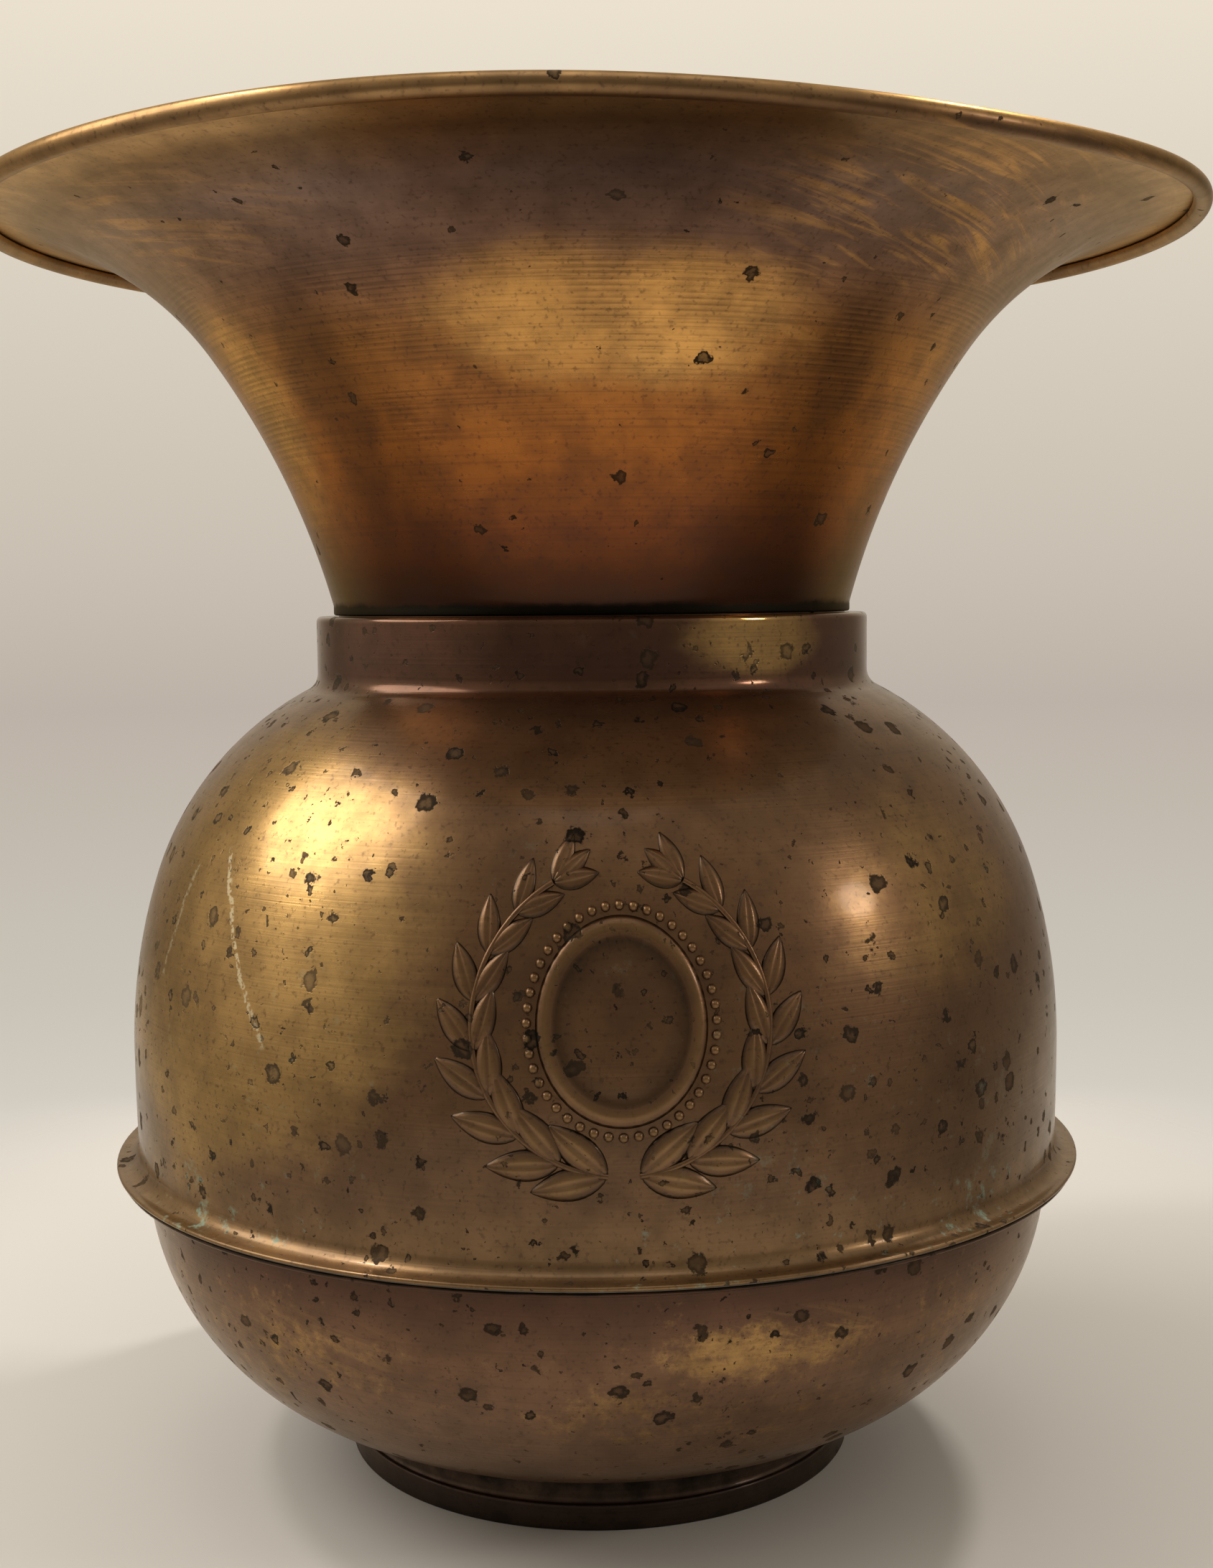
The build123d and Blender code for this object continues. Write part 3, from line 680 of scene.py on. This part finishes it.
body = runTree("body_sheet", bodyWall.data, laurelTree(), {
    "Leaf": leaf, "Bead": bead, "Oval": oval, "Pairs": laurelMake["pairs"],
    "Branch Radius": laurelMake["branchRadius"] * mm, "Branch Start": math.radians(laurelMake["branchStart"]),
    "Branch Sweep": math.radians(laurelMake["branchSweep"]), "Splay": math.radians(laurelMake["splay"]),
    "Tip Size": laurelMake["tipSize"], "Stem": laurelMake["stem"] * mm, "Beads": laurelMake["beads"],
    "Bead Ring": ((wide + laurelMake["beadGap"]) * mm, (tall + laurelMake["beadGap"]) * mm, 1.0),
    "Bearing": math.radians(laurelMake["turn"]),
    "Height": laurelMake["up"] * mm, "Wall Radius": laurelMake["wallRadius"] * mm, "Finish": bodyBrass})
facingOut(body)
for shape in (bodyWall, leaf, bead, oval):
    bpy.data.objects.remove(shape)
print("pressed the laurel,", len(body.data.polygons), "faces in the body")

# Bowl: flange, round side and flat floor
bowlMake = {**brassLook, "floorRadius": 43.0, "floor": 10.25, "wall": (98.35, 66.05), "flangeRadius": 104.4,
            "flangeFillet": 2.05, "columns": 256,
            "film": [(9, "#7a5d49"), (24, "#876750"), (50, "#7e5e46"), (62, "#573a2b"), (67, "#4d3223")],
            "rubbedAndPaintedLightAt": [(9, 0.3), (20, 0.46), (34, 0.54), (50, 0.5), (62, 0.36), (67, 0.36)],
            "gold": "#b08a56", "rubbedEdge": 0.5, "smears": [(21, 53, 13, 7, 0.95), (-33, 49, 15, 9, 0.35)],
            "rubbedAndPaintedLightPatches": [(-31, 46, 14, 9, 0.12), (19, 51, 15, 8, 0.4), (3, 37, 16, 9, 0.14), (30, 42, 12, 9, 0.08),
                              (108, 46, 18, 9, 0.25), (160, 42, 16, 9, 0.2), (-122, 47, 20, 9, 0.25)],
            "grimeAt": [(9, 0.6), (14, 0.1), (60, 0.0), (65.6, 0.1), (66.6, 0.9)], "streaks": 0.2,
            "flake": (3.2, 4.0, 0.7, 0.0), "flakes": 1.2, "lineDirt": 0.12, "filmMetal": 0.78,
            "spots": [(7.0, 2.3, 0.6), (3.8, 1.0, 0.5), (2.1, 0.4, 0.6)]}


def bowlSection(make):
    floor = (make["floorRadius"], make["floor"])
    side, _ = arcTo(floor, make["wall"], (1, 0), 64)
    rim = straight(make["wall"], (make["flangeRadius"] - sheetHalf, make["wall"][1]), 6)
    path = np.vstack([straight((0, make["floor"]), floor, 10), filleted(side, rim, make["flangeFillet"], 10)[1:]])
    outline = sheetSection(path)
    return outline[outline[:, 0] > -1e-6]


bowl = spin("bowl_sheet", bowlSection(bowlMake), agedBrass("spunBrassBowl", bowlMake), bowlMake["columns"])

# Foot ring with its hem, painted nearly black
footMake = {**brassLook, "bore": 53.8, "wall": 1.0, "radius": 55.7, "hem": 5.4, "round": 0.5, "hemRound": 0.4,
            "solderFilm": 0.15, "innerTop": 8.0, "columns": 192,
            "gold": "#6e5236", "film": [(0, "#33261f"), (5.2, "#44332a"), (5.8, "#5a4536"), (12, "#33261f")],
            "rubbedAndPaintedLightAt": [(0, 0.35), (12, 0.35)], "roughAt": [(0, 0.42), (12, 0.42)], "dark": "#1b1512", "stain": 0.6,
            "grimeAt": [(0, 0.5), (4.0, 0.2), (6.0, 0.4), (12, 0.7)], "spots": [(8.0, 1.6, 0.1)], "filmMetal": 0.7}


def footSection(make, above):  # its top edge follows the underside of the bowl
    reach = math.hypot(above["wall"][0] - above["floorRadius"], above["wall"][1] - above["floor"])
    curve = reach ** 2 / (2 * (above["wall"][1] - above["floor"]))
    outside = curve + sheetHalf + make["solderFilm"]
    outer, inner, hem = make["radius"], make["bore"], make["hem"]
    wall = inner + make["wall"]
    seat = [(r, above["floor"] + curve - math.sqrt(outside ** 2 - (r - above["floorRadius"]) ** 2))
            for r in np.linspace(wall, inner, 4)]
    path = straight((inner, make["innerTop"]), (inner, 0), 8)
    path = filleted(path, straight((inner, 0), (outer, 0), 8), make["round"], 5)
    path = filleted(path, straight((outer, 0), (outer, hem), 8), make["round"], 5)
    path = filleted(path, straight((outer, hem), (wall, hem), 6), make["hemRound"], 5)
    return np.vstack([path, straight((wall, hem), seat[0], 6)[1:], seat[1:]])


foot = spin("foot_hem", footSection(footMake, bowlMake), agedBrass("nearBlackBrassFoot", footMake), footMake["columns"])

for piece, bodyName, node, slot in (
        (funnel, "top", "funnel", "funnel_brass"), (wire, "top", "rim_wire", "rim_steel"),
        (sleeve, "top", "spigot_sleeve", "sleeve_brass"), (body, "vessel", "body_shell", "body_brass"),
        (bowl, "vessel", "bowl", "bowl_brass"), (foot, "vessel", "foot_ring", "foot_brass")):
    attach(piece, bodyName)
    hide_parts(node)

# Solder keeps its CAD shape
solderMake = {"light": "#77736c", "dark": "#4f4a43", "rough": 0.5, "grain": 3.0}
softSolder = greyMetal("softSolder", solderMake)
for node in ("spigot_solder", "seam_solder", "foot_solder"):
    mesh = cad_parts[node].data
    mesh.materials.clear()
    mesh.materials.append(softSolder)
print("pieces dressed")

# Pale table top that fades into the paper behind it
floorMake = {"paper": "#d5d2cd", "radius": 1.2, "fade": (0.62, 0.95), "wide": 0.36, "deep": 0.75, "forward": 0.2,
             "backEdge": (0.27, 0.32), "corners": 96}
floorMesh = bpy.data.meshes.new("paleFloor")
ringPoints = [(floorMake["radius"] * math.cos(a), floorMake["radius"] * math.sin(a), 0.0)
              for a in np.linspace(0, 2 * math.pi, floorMake["corners"], endpoint=False)]
floorMesh.from_pydata(ringPoints, [], [tuple(range(floorMake["corners"]))])
floor = linked("paleFloor", floorMesh)
paper = bpy.data.materials.new("mattPaper")  # matt paper: even, with no shine
put = cleared(paper)
place = put("ShaderNodeTexCoord").outputs["Object"]
spread = put("ShaderNodeMapping", place, into={"Location": (0.0, floorMake["forward"] / floorMake["deep"], 0.0),
                                               "Scale": (1 / floorMake["wide"], 1 / floorMake["deep"], 1.0)})
reach = put("ShaderNodeVectorMath", spread, operation="LENGTH").outputs["Value"]
near = put("ShaderNodeMapRange", reach, floorMake["fade"][1], floorMake["fade"][0], **smooth)
behind = put("ShaderNodeSeparateXYZ", place).outputs["Y"]
before = put("ShaderNodeMapRange", behind, floorMake["backEdge"][1], floorMake["backEdge"][0], **smooth)
shown = put("ShaderNodeMath", near, before, operation="MULTIPLY")
matt = put("ShaderNodeBsdfDiffuse", linear(floorMake["paper"]))
put("ShaderNodeOutputMaterial", put("ShaderNodeMixShader", shown, put("ShaderNodeBsdfTransparent"), matt))
floorMesh.materials.append(paper)

# Paper backdrop all round for the camera; for light and reflections the room in front of it is dimmer
roomMake = {"paper": [(-30, "#c8bfb6"), (-15, "#d8d1c6"), (-11, "#cac4b8"), (-3, "#bdb2a7"), (1, "#c9bfb2"),
                      (8, "#d8cfc0"), (16, "#ece1cf"), (40, "#efe7d9")],  # degrees up, colour
            "round": [(-180, 0.28), (-145, 0.34), (-105, 0.95), (-74, 0.95), (-50, 0.42), (-20, 0.8),
                      (20, 0.8), (44, 0.42), (86, 0.45), (118, 0.66), (148, 0.36),
                      (180, 0.28)],  # degrees from the back, brightness
            "below": 0.5, "belowAt": (-0.25, -0.02), "above": 0.7, "aboveAt": (0.55, 0.9), "backAt": (0.36, 0.62),
            "backFloor": 0.6, "backFloorAt": (0.2, 0.5), "backFloorBelow": (-0.08, -0.3)}
world = bpy.data.worlds.new("paperRoom")
scene.world = world
put = cleared(world)
toX, toY, toZ = put("ShaderNodeSeparateXYZ", put("ShaderNodeTexCoord").outputs["Generated"]).outputs
levels = [(math.sin(math.radians(angle)), colour) for angle, colour in roomMake["paper"]]
lowest, highest = levels[0][0], levels[-1][0]
upward = put("ShaderNodeValToRGB", put("ShaderNodeMapRange", toZ, lowest, highest))
fillRamp(upward, [((level - lowest) / (highest - lowest), colour) for level, colour in levels])
turn = put("ShaderNodeMath", toX, toY, operation="ARCTAN2")
around = put("ShaderNodeValToRGB", put("ShaderNodeMapRange", turn, -math.pi, math.pi))
fillRamp(around, [((angle + 180) / 360, value) for angle, value in roomMake["round"]])
under = put("ShaderNodeMapRange", toZ, *roomMake["belowAt"], roomMake["below"], 1.0, **smooth)
under = put("ShaderNodeMath", under, put("ShaderNodeMapRange", toY, *roomMake["backAt"]), operation="MAXIMUM")
dimmer = put("ShaderNodeMath", around.outputs["Color"], under, operation="MULTIPLY")
backFloor = put("ShaderNodeMapRange", toZ, *roomMake["backFloorBelow"], 0.0, roomMake["backFloor"])
dimmer = put("ShaderNodeMath", backFloor, put("ShaderNodeMapRange", toY, *roomMake["backFloorAt"]), dimmer,
             operation="MULTIPLY_ADD")
above = put("ShaderNodeMapRange", toZ, *roomMake["aboveAt"], 0.0, roomMake["above"], **smooth)
dimmer = put("ShaderNodeMath", dimmer, above, operation="MAXIMUM")
lit = put("ShaderNodeMix", put("ShaderNodeLightPath").outputs["Is Camera Ray"], into={2: dimmer, 3: 1.0},
          data_type="FLOAT")
put("ShaderNodeOutputWorld", put("ShaderNodeBackground", upward.outputs["Color"], lit))

# Soft lamps: places and sizes in m, powers in W, all aimed at the middle of the object
aimHeight = 0.12
lampMake = {"spotLeft": {"at": (-0.57, 0.03, 1.05), "size": 0.11, "power": 2.0, "colour": "#fffaf4"},
            "spotRight": {"at": (0.94, -0.36, 0.54), "size": 0.18, "power": 1.3, "colour": "#fff4e6"},
            "backRight": {"at": (0.5, 0.4, 1.05), "size": 0.11, "power": 3.8, "colour": "#fff8f0"},
            "windowLeft": {"at": (-0.9, -0.02, 0.9), "size": 0.85, "power": 6.8, "colour": "#fffaf2"},
            "softTop": {"at": (0.0, -0.3, 1.5), "size": 0.9, "power": 2.0, "colour": "#fffaf4"}}
for name, lamp in lampMake.items():
    data = bpy.data.lights.new(name, "AREA")
    data.shape, data.size, data.energy = "DISK", lamp["size"], lamp["power"]
    data.color = linear(lamp["colour"])[:3]
    item = linked(name, data)
    item.location = lamp["at"]
    item.rotation_mode = "QUATERNION"
    aim = -item.location.copy()
    aim.z += aimHeight
    item.rotation_quaternion = aim.to_track_quat("-Z", "Y")
print("stage lit")

# Camera where the photograph was taken
cameraMake = {"at": (0.00285, -0.44539, 0.18742), "pitch": 0.0934, "roll": -0.0096, "lens": 46.305}
cameraData = bpy.data.cameras.new("photoCamera")
cameraData.sensor_width = 36.0
cameraData.lens = cameraMake["lens"]
cameraData.clip_start = 0.01
camera = linked("photoCamera", cameraData)
camera.matrix_world = (Matrix.Translation(cameraMake["at"])
                       @ Matrix.Rotation(math.pi / 2 - cameraMake["pitch"], 4, "X")
                       @ Matrix.Rotation(cameraMake["roll"], 4, "Z"))
scene.camera = camera

scene.view_settings.view_transform = "Standard"
